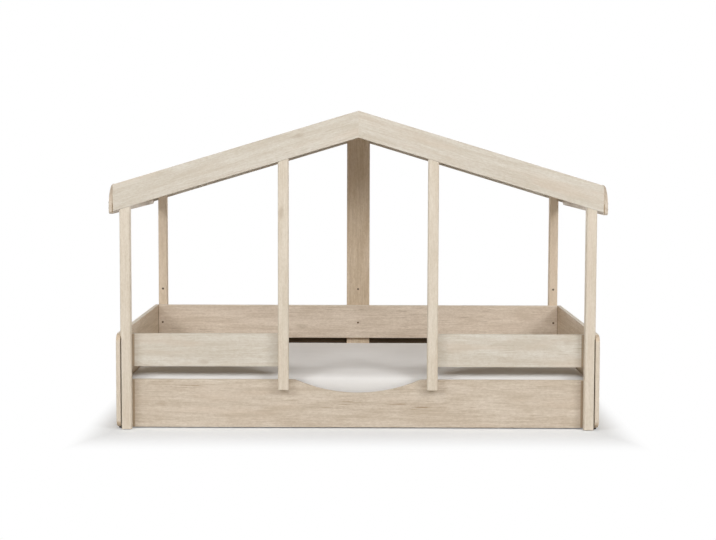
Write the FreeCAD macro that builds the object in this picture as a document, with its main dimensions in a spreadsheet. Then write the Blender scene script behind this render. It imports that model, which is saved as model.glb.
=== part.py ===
import FreeCAD, Part
import math
import os
import sys

import Sketcher

# House frame bed for a child, pale oak-look board, mattress 1000 x 2000 mm.
# Frame of the part: X along the bed, front towards -Y, Z up, origin on the floor
# under the middle of the bed. Sizes are in millimetres.

X, Y, Z = FreeCAD.Vector(1, 0, 0), FreeCAD.Vector(0, 1, 0), FreeCAD.Vector(0, 0, 1)

doc = FreeCAD.newDocument("house_frame_bed")
sheet = doc.addObject("Spreadsheet::Sheet", "Sizes")


class Size:
    """A number together with the sheet formula that it follows."""

    def __init__(self, value, formula):
        self.value = value
        self.formula = formula

    def __add__(self, other):
        other = as_size(other)
        return Size(self.value + other.value, f"({self.formula} + {other.formula})")

    def __sub__(self, other):
        other = as_size(other)
        return Size(self.value - other.value, f"({self.formula} - {other.formula})")

    def __mul__(self, other):
        other = as_size(other)
        return Size(self.value * other.value, f"({self.formula} * {other.formula})")

    def __truediv__(self, other):
        other = as_size(other)
        return Size(self.value / other.value, f"({self.formula} / {other.formula})")

    def __neg__(self):
        return Size(-self.value, f"(0 - {self.formula})")

    def __radd__(self, other):
        return as_size(other) + self

    def __rsub__(self, other):
        return as_size(other) - self

    def __rmul__(self, other):
        return as_size(other) * self


def as_size(value):
    """Plain numbers join a formula as they are."""
    if isinstance(value, Size):
        return value
    return Size(float(value), f"({value})")


def tangent(angle):
    return Size(math.tan(math.radians(angle.value)), f"tan({angle.formula} * 1 deg)")


def cosine(angle):
    return Size(math.cos(math.radians(angle.value)), f"cos({angle.formula} * 1 deg)")


def cell(name, value):
    """One driving dimension: a row of the sheet with its name as alias."""
    cell.row += 1
    sheet.set(f"A{cell.row}", name)
    sheet.set(f"B{cell.row}", str(value))
    sheet.setAlias(f"B{cell.row}", name)
    return Size(value, f"Sizes.{name}")


cell.row = 0

# The box that the mattress lies in, and the board and post sections.
inner_length = cell("inner_length", 2010)
inner_width = cell("inner_width", 1010)
board = cell("board", 18)
post_width = cell("post_width", 45)
post_depth = cell("post_depth", 36)
post_round = cell("post_round", 7)
groove_width = cell("groove_width", 4)
groove_depth = cell("groove_depth", 12)
edge_round = cell("edge_round", 2)
fit = cell("fit", 0.3)

# End panels on their glides.
glide_height = cell("glide_height", 8)
glide_diameter = cell("glide_diameter", 14)
glide_inset = cell("glide_inset", 52)
panel_top = cell("panel_top", 410)
panel_proud = cell("panel_proud", 4)
panel_corner = cell("panel_corner", 40)

# Rails, guards and back panel.
rail_foot = cell("rail_foot", 6)
rail_height = cell("rail_height", 204)
entry_half_width = cell("entry_half_width", 280)
entry_depth = cell("entry_depth", 57)
entry_shoulder = cell("entry_shoulder", 60)
guard_gap = cell("guard_gap", 56)
guard_height = cell("guard_height", 140)
guard_inset = cell("guard_inset", 6)
back_panel_height = cell("back_panel_height", 165)
stretcher_foot = cell("stretcher_foot", 190)
stretcher_height = cell("stretcher_height", 72)

# Posts and the wide board at the middle of the back.
post_foot = cell("post_foot", 3)
middle_post_place = cell("middle_post_place", 316)
middle_post_foot = cell("middle_post_foot", 170)
foot_chamfer = cell("foot_chamfer", 3)
centre_board_width = cell("centre_board_width", 114)
centre_board_foot = cell("centre_board_foot", 60)

# Roof: mitred rafters, and eave boards across their ends.
roof_angle = cell("roof_angle", 16.8)
apex_height = cell("apex_height", 1352)
rafter_width = cell("rafter_width", 108)
rafter_overhang = cell("rafter_overhang", 26)
tongue_drop = cell("tongue_drop", 22)
eave_height = cell("eave_height", 124)
eave_corner = cell("eave_corner", 95)
eave_tip = cell("eave_tip", 12)
eave_screw_rise = cell("eave_screw_rise", 24)

# Slatted base.
slat_level = cell("slat_level", 62)
slat_thick = cell("slat_thick", 18)
slat_width = cell("slat_width", 75)
slat_end_play = cell("slat_end_play", 2)
slat_row_margin = cell("slat_row_margin", 20)
ledge_depth = cell("ledge_depth", 30)
ledge_height = cell("ledge_height", 25)
ledge_end_gap = cell("ledge_end_gap", 4)
beam_width = cell("beam_width", 60)
beam_height = cell("beam_height", 30)
holder_wall = cell("holder_wall", 3)
holder_reach = cell("holder_reach", 40)
holder_rise = cell("holder_rise", 20)
holder_back = cell("holder_back", 49)
holder_screw_place = cell("holder_screw_place", 20)
foot_place = cell("foot_place", 335)
foot_width = cell("foot_width", 50)
band_width = cell("band_width", 25)
band_thick = cell("band_thick", 1.2)
band_place = cell("band_place", 250)

# Mattress.
mattress_play = cell("mattress_play", 5)
mattress_height = cell("mattress_height", 142)
mattress_round = cell("mattress_round", 24)
mattress_crown = cell("mattress_crown", 8)
mattress_waist = cell("mattress_waist", 3)

# Fasteners.
bolt_diameter = cell("bolt_diameter", 6)
bolt_head = cell("bolt_head", 10)
bolt_head_height = cell("bolt_head_height", 2)
bolt_play = cell("bolt_play", 0.2)
bolt_in_post = cell("bolt_in_post", 24)
bolt_in_board = cell("bolt_in_board", 12)
screw_diameter = cell("screw_diameter", 4)
screw_head = cell("screw_head", 8)
screw_head_height = cell("screw_head_height", 1.5)
screw_in_end = cell("screw_in_end", 30)
cap_stem = cell("cap_stem", 8)
dowel_diameter = cell("dowel_diameter", 8)
dowel_reach = cell("dowel_reach", 18)
peg_reach = cell("peg_reach", 13)
plate_length = cell("plate_length", 160)
plate_width = cell("plate_width", 40)
plate_thick = cell("plate_thick", 3)
low_rail_bolt = cell("low_rail_bolt", 110)
high_rail_bolt = cell("high_rail_bolt", 170)
panel_bolt = cell("panel_bolt", 323)
spare_hole = cell("spare_hole", 490)
low_end_bolt = cell("low_end_bolt", 75)
high_end_bolt = cell("high_end_bolt", 290)
bolt_spread = cell("bolt_spread", 30)

SLATS = 15
LEDGE_SCREWS = 5
PLATE_SCREW_SHARES = (0.2, 0.4)
SHANK_SIDE_COUNT = 6
HEAD_SIDE_COUNT = 12
CROWN_STATIONS = (0.85, 0.65, 0.4)
FLATTEST_CROWN = 0.1

# Planes that several pieces share, measured from the middle of the bed.
half_length = inner_length / 2
inner_face = inner_width / 2
post_back = inner_face + board
post_front = post_back + post_depth
tongue_face = post_front - board
panel_edge = post_front + panel_proud
rail_top = rail_foot + rail_height
guard_foot = rail_top + guard_gap
guard_middle = guard_foot + guard_height / 2
corner_post_place = half_length - post_width / 2
slope = tangent(roof_angle)
rafter_rise = rafter_width / cosine(roof_angle)
rafter_end = half_length + rafter_overhang
slat_top = slat_level + slat_thick
beam_foot = slat_level - beam_height
holder_foot = beam_foot - holder_wall
holder_screw_height = holder_foot + holder_back - screw_head


def rafter_top_at(distance):
    """Height of a rafter's upper edge at a distance from the middle of the bed."""
    return apex_height - slope * distance


def rafter_middle_at(distance):
    return rafter_top_at(distance) - rafter_rise / 2


# The planes that sketches lie on: the world axis that a piece is measured along
# from that plane, and the sign that turns this measure into the sketch's own offset.
PLANES = {
    "front": ("XZ_Plane", -1),
    "side": ("YZ_Plane", 1),
    "top": ("XY_Plane", 1),
}


def bind(thing, path, size):
    thing.setExpression(path, as_size(size).formula)


def new_body(name):
    body = doc.addObject("PartDesign::Body", name)
    body.Label = name
    return body


def new_sketch(body, name, facing, level):
    """An empty sketch of a body, parallel to one of its origin planes."""
    role, sign = PLANES[facing]
    sketch = body.newObject("Sketcher::SketchObject", name)
    origin_plane = next(item for item in body.Origin.OriginFeatures if item.Role == role)
    sketch.AttachmentSupport = [(origin_plane, "")]
    sketch.MapMode = "FlatFace"
    bind(sketch, "AttachmentOffset.Base.z", sign * as_size(level))
    return sketch


def pin_points(sketch, points):
    """Ties points of a sketch, each as curve, end and place, to their formulas."""
    sizes, ties = [], []
    for curve, end, place in points:
        for kind, size in zip(("DistanceX", "DistanceY"), place):
            sizes.append(as_size(size))
            ties.append(Sketcher.Constraint(kind, -1, 1, curve, end, sizes[-1].value))
            ties[-1].Name = f"{kind}{curve}_{end}"
    sketch.addConstraint(ties)
    for tie, size in zip(ties, sizes):
        bind(sketch, f"Constraints.{tie.Name}", size)


def flat_point(place):
    return FreeCAD.Vector(as_size(place[0]).value, as_size(place[1]).value, 0)


def draw_outlines(sketch, outlines):
    """Closed outlines of straight lines, each through its own corners."""
    lines, joints, points = [], [], []
    for corners in outlines:
        first = len(lines)
        following = list(range(first + 1, first + len(corners))) + [first]
        ends = corners[1:] + corners[:1]
        for start, end, number in zip(corners, ends, following):
            joints.append(Sketcher.Constraint("Coincident", len(lines), 2, number, 1))
            points.append((len(lines), 1, start))
            lines.append(Part.LineSegment(flat_point(start), flat_point(end)))
    sketch.addGeometry(lines)
    sketch.addConstraint(joints)
    pin_points(sketch, points)


def six_sided(centre, diameter):
    """Corners of a hole with as many flats as a fastener's shank, one of them level."""
    corners = []
    for number in range(SHANK_SIDE_COUNT):
        angle = math.radians(360 * number / SHANK_SIDE_COUNT)
        corners.append((centre[0] + diameter / 2 * round(math.cos(angle), 6),
                        centre[1] + diameter / 2 * round(math.sin(angle), 6)))
    return corners


def rectangle(low, high):
    """Corners of a rectangle between two opposite ones."""
    return [low, (high[0], low[1]), high, (low[0], high[1])]


def add_pad(body, sketch, length):
    pad = body.newObject("PartDesign::Pad", f"{body.Name}_pad")
    pad.Profile = sketch
    bind(pad, "Length", length)
    return pad


def add_pocket(body, sketch, depth, facing, towards):
    """A pocket whose cut runs along the plane's world axis, towards +1 or -1."""
    sign = PLANES[facing][1]
    pocket = body.newObject("PartDesign::Pocket", f"{sketch.Name}_pocket")
    pocket.Profile = sketch
    pocket.Reversed = towards == sign
    bind(pocket, "Length", depth)
    return pocket


def board_between(name, facing, corners, low, thick):
    """A board cut to an outline, from the low level of its plane's axis upwards."""
    body = new_body(name)
    start = low + thick if facing == "front" else low
    sketch = new_sketch(body, f"{name}_outline", facing, start)
    draw_outlines(sketch, [corners])
    add_pad(body, sketch, thick)
    return body


def drill(body, label, facing, level, towards, depth, diameter, centres):
    """Holes for fasteners into a body, from a level of the plane's axis."""
    sketch = new_sketch(body, f"{body.Name}_{label}", facing, level)
    draw_outlines(sketch, [six_sided(centre, diameter) for centre in centres])
    add_pocket(body, sketch, depth, facing, towards)


def cut_away(body, label, facing, level, towards, depth, corners):
    """A straight-sided cut into a body, from a level of the plane's axis."""
    sketch = new_sketch(body, f"{body.Name}_{label}", facing, level)
    draw_outlines(sketch, [corners])
    add_pocket(body, sketch, depth, facing, towards)


def edge_names(shape, chosen):
    return [f"Edge{number}" for number, edge in enumerate(shape.Edges, 1) if chosen(edge)]


def is_along(edge, axis):
    """True of a straight edge that runs along an axis."""
    if not isinstance(edge.Curve, Part.Line):
        return False
    return abs(abs(edge.Curve.Direction.dot(axis)) - 1) < 1e-6


def dress(body, label, kind, measure, size, chosen):
    """A dressing of one kind on the chosen edges of a body's last feature."""
    doc.recompute()
    base = body.Tip
    feature = body.newObject(kind, f"{body.Name}_{label}")
    feature.Base = (base, edge_names(base.Shape, chosen))
    bind(feature, measure, size)


def soften(body, label, radius, chosen):
    dress(body, label, "PartDesign::Fillet", "Radius", radius, chosen)


def chamfer(body, label, size, chosen):
    dress(body, label, "PartDesign::Chamfer", "Size", size, chosen)


def soften_long_edges(body):
    """A light rounding on the straight edges that run along the whole piece."""
    doc.recompute()
    longest = max(edge.Length for edge in body.Tip.Shape.Edges)
    soften(body, "edges", edge_round, lambda edge: edge.Length > longest / 2)


bolt_hole = bolt_diameter + 2 * bolt_play
screw_hole = screw_diameter + 2 * bolt_play
dowel_hole = dowel_diameter + 2 * bolt_play
SIDES = (("left", -1), ("right", 1))


# ---------------------------------------------------------------- end panels

def end_panel(name, side):
    """Rounded board at the head or foot, drilled for the bolts into the corner posts."""
    outer = half_length + board
    low = half_length if side > 0 else -outer
    panel = board_between(name, "side", rectangle((-panel_edge, glide_height),
                                                  (panel_edge, panel_top)), low, board)
    soften(panel, "corners", panel_corner, lambda edge: is_along(edge, X))
    chamfer(panel, "edges", edge_round,
            lambda edge: abs(abs(edge.CenterOfMass.x) - outer.value) < 0.01
            or abs(abs(edge.CenterOfMass.x) - half_length.value) < 0.01)
    centres = [(front * post_line, height) for front in (-1, 1)
               for height in (low_end_bolt, high_end_bolt)]
    drill(panel, "bolt_holes", "side", side * outer, -side, board, bolt_hole, centres)
    drill(panel, "holder_holes", "side", side * half_length, side, bolt_in_board + fit,
          screw_hole, [(front * holder_screw_place, holder_screw_height) for front in (-1, 1)])


post_line = (post_back + post_front) / 2
for side_name, side in SIDES:
    end_panel(f"end_panel_{side_name}", side)


# ---------------------------------------------------------- rails and panels

def entry_cut(rail):
    """The shallow entry: one wide arc that runs into a soft shoulder at each end.

    The wide arc hangs from the shoulders, so the sum of both radii follows from
    the half width and the depth of the cut.
    """
    reach = (entry_half_width * entry_half_width / entry_depth + entry_depth) / 2
    wide_radius = reach - entry_shoulder
    lowest = rail_top - entry_depth
    wide_centre = (as_size(0), lowest + wide_radius)
    share = wide_radius / reach
    touch_x = entry_half_width * share
    touch_z = wide_centre[1] - (wide_radius + lowest - rail_top + entry_shoulder) * share
    lid = rail_top + board
    shoulder_z = rail_top - entry_shoulder
    steep = math.atan2((touch_z - shoulder_z).value,
                       (touch_x - entry_half_width).value)

    sketch = new_sketch(rail, "entry", "front", -inner_face)
    circle = Part.Circle
    up = FreeCAD.Vector(0, 0, 1)
    right_shoulder = circle(flat_point((entry_half_width, shoulder_z)), up, entry_shoulder.value)
    left_shoulder = circle(flat_point((-entry_half_width, shoulder_z)), up, entry_shoulder.value)
    wide = circle(flat_point(wide_centre), up, wide_radius.value)
    bottom = math.atan2((touch_z - wide_centre[1]).value, touch_x.value)
    sketch.addGeometry(Part.ArcOfCircle(right_shoulder, math.pi / 2, steep))
    sketch.addGeometry(Part.ArcOfCircle(wide, math.pi - bottom - 2 * math.pi, bottom))
    sketch.addGeometry(Part.ArcOfCircle(left_shoulder, math.pi - steep, math.pi / 2))
    left_top, right_top = (-entry_half_width, rail_top), (entry_half_width, rail_top)
    left_lid, right_lid = (-entry_half_width, lid), (entry_half_width, lid)
    sketch.addGeometry(Part.LineSegment(flat_point(left_top), flat_point(left_lid)))
    sketch.addGeometry(Part.LineSegment(flat_point(left_lid), flat_point(right_lid)))
    sketch.addGeometry(Part.LineSegment(flat_point(right_lid), flat_point(right_top)))
    for joint in ((0, 2, 1, 2), (1, 1, 2, 1)):
        sketch.addConstraint(Sketcher.Constraint("Tangent", *joint))
    for joint in ((2, 2, 3, 1), (3, 2, 4, 1), (4, 2, 5, 1), (5, 2, 0, 1)):
        sketch.addConstraint(Sketcher.Constraint("Coincident", *joint))
    pin_points(sketch, [(0, 3, (entry_half_width, shoulder_z)),
                        (2, 3, (-entry_half_width, shoulder_z)),
                        (3, 1, left_top), (3, 2, left_lid),
                        (4, 2, right_lid), (5, 2, right_top)])
    radius = Sketcher.Constraint("Radius", 1, wide_radius.value)
    radius.Name = "wide_radius"
    sketch.addConstraint(radius)
    bind(sketch, "Constraints.wide_radius", wide_radius)
    add_pocket(rail, sketch, board, "front", -1)


front_bolts = []
rear_bolts = []
centre_bolts = []

front_rail = board_between("front_rail", "front",
                           rectangle((-half_length, rail_foot), (half_length, rail_top)),
                           -post_back, board)
entry_cut(front_rail)
chamfer(front_rail, "edges", edge_round,
        lambda edge: edge.CenterOfMass.z > (rail_top - entry_depth).value - fit.value
        and edge.Length > 2 * board.value)
rail_holes = [(side * corner_post_place, height) for _, side in SIDES
              for height in (low_rail_bolt, high_rail_bolt)]
middle_rail_bolt = (middle_post_foot + rail_top) / 2
front_rail_holes = rail_holes + [(side * middle_post_place, middle_rail_bolt)
                                 for _, side in SIDES]
drill(front_rail, "bolt_holes", "front", -inner_face, -1, board, bolt_hole, front_rail_holes)
front_bolts += front_rail_holes

for side_name, side in SIDES:
    inner_end = middle_post_place - post_width / 2 + guard_inset
    low_x, high_x = sorted((side * half_length, side * inner_end), key=lambda size: size.value)
    guard = board_between(f"front_guard_{side_name}", "front",
                          rectangle((low_x, guard_foot), (high_x, guard_foot + guard_height)),
                          -post_back, board)
    soften_long_edges(guard)
    guard_holes = [(side * corner_post_place, guard_middle),
                   (side * middle_post_place, guard_middle)]
    drill(guard, "bolt_holes", "front", -inner_face, -1, board, bolt_hole, guard_holes)
    front_bolts += guard_holes

rear_rail = board_between("rear_rail", "front",
                          rectangle((-half_length, rail_foot), (half_length, rail_top)),
                          inner_face, board)
soften_long_edges(rear_rail)
centre_rail_hole = (as_size(0), low_rail_bolt)
drill(rear_rail, "bolt_holes", "front", inner_face, 1, board, bolt_hole,
      rail_holes + [centre_rail_hole])
rear_bolts += rail_holes
centre_bolts.append(centre_rail_hole)

back_panel = board_between("back_panel", "front",
                           rectangle((-half_length, panel_top - back_panel_height),
                                     (half_length, panel_top)),
                           inner_face, board)
soften_long_edges(back_panel)
back_holes = [(side * corner_post_place, panel_bolt) for _, side in SIDES]
centre_panel_hole = (as_size(0), panel_bolt)
drill(back_panel, "bolt_holes", "front", inner_face, 1, board, bolt_hole,
      back_holes + [centre_panel_hole])
rear_bolts += back_holes
centre_bolts.append(centre_panel_hole)


# --------------------------------------------------------------------- posts

def post(name, place, front, foot, bolt_heights):
    """A rounded post with a tongue that rises behind its rafter.

    front is -1 for the front row and 1 for the rear row. The half of the post that
    the rafter covers ends just under the rafter's lower edge.
    """
    body = new_body(name)
    top = rafter_top_at(0)
    low_y, high_y = (-post_front, -post_back) if front < 0 else (post_back, post_front)
    low_x, high_x = place - post_width / 2, place + post_width / 2
    sketch = new_sketch(body, f"{name}_section", "top", foot)
    draw_outlines(sketch, [rectangle((low_x, low_y), (high_x, high_y))])
    add_pad(body, sketch, top - foot)
    soften(body, "rounding", post_round, lambda edge: is_along(edge, Z))

    side = 1 if place.value > 0 else -1
    beyond = top + post_width

    def above(drop):
        """The space over a line that runs at a drop below the rafter's upper edge."""
        low_line = rafter_top_at(side * low_x) - drop
        high_line = rafter_top_at(side * high_x) - drop
        return [(low_x, low_line), (high_x, high_line), (high_x, beyond), (low_x, beyond)]

    outer_face = front * post_front
    cut_away(body, "tongue_top", "front", outer_face, -front, post_depth, above(tongue_drop))
    cut_away(body, "shoulder", "front", outer_face, -front, board, above(rafter_rise + fit))
    drill(body, "bolt_holes", "front", front * post_back, front, bolt_in_post + fit,
          bolt_hole, [(place, height) for height in bolt_heights])
    drill(body, "rafter_hole", "front", front * post_back, front, post_depth - board,
          bolt_hole, [(place, rafter_middle_at(side * place))])
    return body


def corner_post(name, side, front, bolt_heights):
    """A post with a narrow groove down its outer corner, which sets the end panel off."""
    body = post(name, side * corner_post_place, front, post_foot, bolt_heights)
    cut_away(body, "groove", "front", front * post_front, -front, groove_depth,
             rectangle((side * (half_length - groove_width), as_size(0)),
                       (side * (half_length + fit), panel_top - panel_corner / 4)))
    drill(body, "end_holes", "side", side * half_length, -side, bolt_in_post + fit, bolt_hole,
          [(front * post_line, height) for height in (low_end_bolt, high_end_bolt)])
    return body


stretcher_middle = stretcher_foot + stretcher_height / 2
dowel_line = post_front - board / 2
dowel_heights = (stretcher_middle - stretcher_height / 4, stretcher_middle + stretcher_height / 4)
for side_name, side in SIDES:
    corner_post(f"front_corner_post_{side_name}", side, -1,
                (low_rail_bolt, high_rail_bolt, guard_middle))
    middle = post(f"front_middle_post_{side_name}", side * middle_post_place, -1,
                  middle_post_foot, (middle_rail_bolt, guard_middle))
    chamfer(middle, "foot", foot_chamfer,
            lambda edge: abs(edge.CenterOfMass.z - middle_post_foot.value) < 0.01)
    rear = corner_post(f"rear_corner_post_{side_name}", side, 1,
                       (low_rail_bolt, high_rail_bolt, panel_bolt))
    drill(rear, "spare_hole", "front", post_back, 1, bolt_in_board, bolt_hole,
          [(side * corner_post_place, spare_hole)])
    drill(rear, "dowel_holes", "side", side * (half_length - post_width), side,
          dowel_reach + fit, dowel_hole, [(dowel_line, height) for height in dowel_heights])

centre_half = centre_board_width / 2
centre_shoulder = rafter_top_at(centre_half) - tongue_drop
centre_board = board_between("rear_centre_board", "front",
                             [(-centre_half, centre_board_foot),
                              (centre_half, centre_board_foot),
                              (centre_half, centre_shoulder),
                              (as_size(0), rafter_top_at(0) - tongue_drop),
                              (-centre_half, centre_shoulder)],
                             post_back, board)
soften_long_edges(centre_board)
rafter_bolt_pair = [(side * bolt_spread, rafter_middle_at(bolt_spread)) for _, side in SIDES]
stretcher_screw_pair = [(side * bolt_spread, stretcher_middle) for _, side in SIDES]
drill(centre_board, "through_holes", "front", post_back, 1, board, bolt_hole, rafter_bolt_pair)
drill(centre_board, "bolt_holes", "front", post_back, 1, bolt_in_board + fit, bolt_hole,
      centre_bolts + [(as_size(0), spare_hole)])
drill(centre_board, "screw_holes", "front", tongue_face, -1, bolt_in_board + fit, screw_hole,
      stretcher_screw_pair)

stretcher_end = half_length - post_width
stretcher = board_between("rear_stretcher", "front",
                          rectangle((-stretcher_end, stretcher_foot),
                                    (stretcher_end, stretcher_foot + stretcher_height)),
                          tongue_face, board)
soften_long_edges(stretcher)
drill(stretcher, "screw_holes", "front", post_front, -1, board, screw_hole,
      stretcher_screw_pair)
for side_name, side in SIDES:
    drill(stretcher, f"dowel_holes_{side_name}", "side", side * stretcher_end, -side,
          dowel_reach + fit, dowel_hole, [(dowel_line, height) for height in dowel_heights])


# ---------------------------------------------------------------------- roof

low_eave_screw = rafter_top_at(rafter_end) - eave_height + eave_screw_rise
eave_screw_heights = (low_eave_screw, low_eave_screw + eave_screw_rise)
plate_middle = rafter_middle_at(plate_length / 2) + fit
plate_screws = [(side * share * plate_length, plate_middle)
                for _, side in SIDES for share in PLATE_SCREW_SHARES]


def rafter(name, side, front):
    """Half of a gable: mitred at the apex, cut plumb at the eave."""
    foot = side * rafter_end
    body = board_between(name, "front",
                         [(as_size(0), rafter_top_at(0) - rafter_rise),
                          (foot, rafter_top_at(rafter_end) - rafter_rise),
                          (foot, rafter_top_at(rafter_end)),
                          (as_size(0), rafter_top_at(0))],
                         -post_front if front < 0 else tongue_face, board)
    soften_long_edges(body)
    places = [corner_post_place]
    places.append(middle_post_place if front < 0 else bolt_spread)
    drill(body, "bolt_holes", "front", front * tongue_face, front, bolt_in_board + fit,
          bolt_hole, [(side * place, rafter_middle_at(place)) for place in places])
    drill(body, "end_holes", "side", foot, -side, screw_in_end + fit, screw_hole,
          [(front * (post_front - board / 2), height) for height in eave_screw_heights])
    if front < 0:
        drill(body, "plate_holes", "front", -tongue_face, -1, bolt_in_board + fit, screw_hole,
              [place for place in plate_screws if place[0].value * side > 0])
    return body


def eave_board(name, side):
    """Board from front to back across the rafter ends, its upper corners well rounded."""
    outer = rafter_end + board
    top = rafter_top_at(rafter_end)
    body = board_between(name, "side",
                         rectangle((-post_front, top - eave_height), (post_front, top)),
                         rafter_end if side > 0 else -outer, board)
    middle_height = (top - eave_height / 2).value
    soften(body, "upper_corners", eave_corner,
           lambda line: is_along(line, X) and line.CenterOfMass.z > middle_height)
    soften(body, "lower_corners", eave_tip,
           lambda line: is_along(line, X) and line.Length > board.value - 0.01
           and line.CenterOfMass.z < (top - eave_height).value + 0.01)
    chamfer(body, "edges", edge_round,
            lambda line: abs(abs(line.CenterOfMass.x) - outer.value) < 0.01
            or abs(abs(line.CenterOfMass.x) - rafter_end.value) < 0.01)
    drill(body, "screw_holes", "side", side * outer, -side, board, screw_hole,
          [(front * (post_front - board / 2), height) for front in (-1, 1)
           for height in eave_screw_heights])
    return body


for side_name, side in SIDES:
    rafter(f"front_rafter_{side_name}", side, -1)
    rafter(f"rear_rafter_{side_name}", side, 1)
    eave_board(f"eave_board_{side_name}", side)

apex_plate = board_between("apex_plate", "front",
                           rectangle((-(plate_length / 2), plate_middle - plate_width / 2),
                                     (plate_length / 2, plate_middle + plate_width / 2)),
                           -tongue_face, plate_thick)
drill(apex_plate, "screw_holes", "front", plate_thick - tongue_face, -1, plate_thick,
      screw_hole, plate_screws)


# -------------------------------------------------------------- slatted base

ledge_half = half_length - ledge_end_gap
ledge_line = slat_level - ledge_height / 2
ledge_screws = [((number / (LEDGE_SCREWS - 1) * 2 - 1) * (ledge_half - ledge_depth), ledge_line)
                for number in range(LEDGE_SCREWS)]
slat_half_row = half_length - slat_row_margin - slat_width / 2
slat_places = [(number / (SLATS - 1) * 2 - 1) * slat_half_row for number in range(SLATS)]
peg_line = inner_face - ledge_depth / 2
peg_places = [(slat_places[end], front * peg_line) for end in (0, -1) for front in (-1, 1)]

for name, front in (("ledge_front", -1), ("ledge_rear", 1)):
    low_y = -inner_face if front < 0 else inner_face - ledge_depth
    ledge = board_between(name, "top", rectangle((-ledge_half, low_y),
                                                 (ledge_half, low_y + ledge_depth)),
                          slat_level - ledge_height, ledge_height)
    drill(ledge, "screw_holes", "front", front * (inner_face - ledge_depth), front,
          ledge_depth, screw_hole, ledge_screws)
    drill(ledge, "peg_holes", "top", slat_level, -1, peg_reach + fit, dowel_hole,
          [place for place in peg_places if place[1].value * front > 0])

for body, front in ((front_rail, -1), (rear_rail, 1)):
    drill(body, "ledge_holes", "front", front * inner_face, front, bolt_in_board + fit,
          screw_hole, ledge_screws)

slat_end = inner_face - slat_end_play
for number, place in enumerate(slat_places):
    slat = board_between(f"slat_{number + 1:02d}", "top",
                         rectangle((place - slat_width / 2, -slat_end),
                                   (place + slat_width / 2, slat_end)),
                         slat_level, slat_thick)
    if number in (0, SLATS - 1):
        drill(slat, "peg_holes", "top", slat_level, 1, peg_reach + fit, dowel_hole,
              [peg for peg in peg_places if peg[0].formula == place.formula])

beam_half = half_length - holder_wall - fit
board_between("centre_beam", "top", rectangle((-beam_half, -(beam_width / 2)),
                                              (beam_half, beam_width / 2)),
              beam_foot, beam_height)


def beam_holder(name, side):
    """Bracket on an end panel: a trough for the beam's end below a plate for its screws."""
    back = side * half_length
    plate = side * (half_length - holder_wall)
    lip = side * (half_length - holder_reach)
    holder_half = beam_width / 2 + fit + holder_wall
    rim = holder_foot + holder_rise
    body = board_between(name, "front",
                         [(back, holder_foot), (back, holder_foot + holder_back),
                          (plate, holder_foot + holder_back), (plate, rim),
                          (lip, rim), (lip, holder_foot)],
                         -holder_half, 2 * holder_half)
    low_x, high_x = sorted((plate, lip), key=lambda size: size.value)
    cut_away(body, "trough", "top", rim, -1, holder_rise - holder_wall,
             rectangle((low_x, -(beam_width / 2 + fit)), (high_x, beam_width / 2 + fit)))
    drill(body, "screw_holes", "side", plate, side, holder_wall, screw_hole,
          [(front * holder_screw_place, holder_screw_height) for front in (-1, 1)])


for side_name, side in SIDES:
    beam_holder(f"beam_holder_{side_name}", side)
    low_x, high_x = side * foot_place - foot_width / 2, side * foot_place + foot_width / 2
    board_between(f"centre_foot_{side_name}", "top",
                  rectangle((low_x, -(foot_width / 2)), (high_x, foot_width / 2)),
                  as_size(0), beam_foot)


# ---------------------------------------------------------------- fasteners

# The flats of shanks and heads stand for round ones, to keep what repeats light.

nodes = []


def aimed(direction):
    """The turn that points an upright piece along a direction, its flats as in the holes."""
    across = Y if direction.x else X
    return FreeCAD.Rotation(across, FreeCAD.Vector(), direction, "ZXY")


def place_at(thing, place, turn):
    """Puts an object at a bound place, with a turn."""
    thing.Placement = FreeCAD.Placement(FreeCAD.Vector(), turn)
    for letter, size in zip("xyz", place):
        bind(thing, f"Placement.Base.{letter}", size)


def prism(name, flats, diameter, length, start):
    """An upright prism on the axis, its corners on the diameter."""
    solid = doc.addObject("Part::Prism", name)
    solid.Polygon = flats
    bind(solid, "Circumradius", diameter / 2)
    bind(solid, "Height", length)
    bind(solid, "Placement.Base.z", start)
    return solid


def group(name, solids):
    """Identical pieces in one node, each a solid of its own."""
    node = doc.addObject("Part::Compound", name)
    node.Label = name
    node.Links = solids
    nodes.append(node)


def fasteners(name, places, shank, length, head, head_height):
    """Headed fasteners: each head bears on the surface at its place, its shank aims inwards."""
    wholes = []
    for number, (place, direction) in enumerate(places, 1):
        stem = prism(f"{name}_{number}_shank", SHANK_SIDE_COUNT, shank,
                     length + head_height / 2, -(head_height / 2))
        cap = prism(f"{name}_{number}_head", HEAD_SIDE_COUNT, head, head_height, -head_height)
        whole = doc.addObject("Part::Fuse", f"{name}_{number}")
        whole.Base = stem
        whole.Tool = cap
        place_at(whole, place, aimed(direction))
        wholes.append(whole)
    group(name, wholes)


def bolts(name, places, length):
    fasteners(name, places, bolt_diameter, length, bolt_head, bolt_head_height)


def screws(name, places, length):
    fasteners(name, places, screw_diameter, length, screw_head, screw_head_height)


def pins(name, places, direction, flats, diameter, length):
    """Straight pins, each from its place along a direction."""
    solids = []
    for number, place in enumerate(places, 1):
        pin = prism(f"{name}_{number}", flats, diameter, length, as_size(0))
        place_at(pin, place, aimed(direction))
        solids.append(pin)
    group(name, solids)


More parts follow.
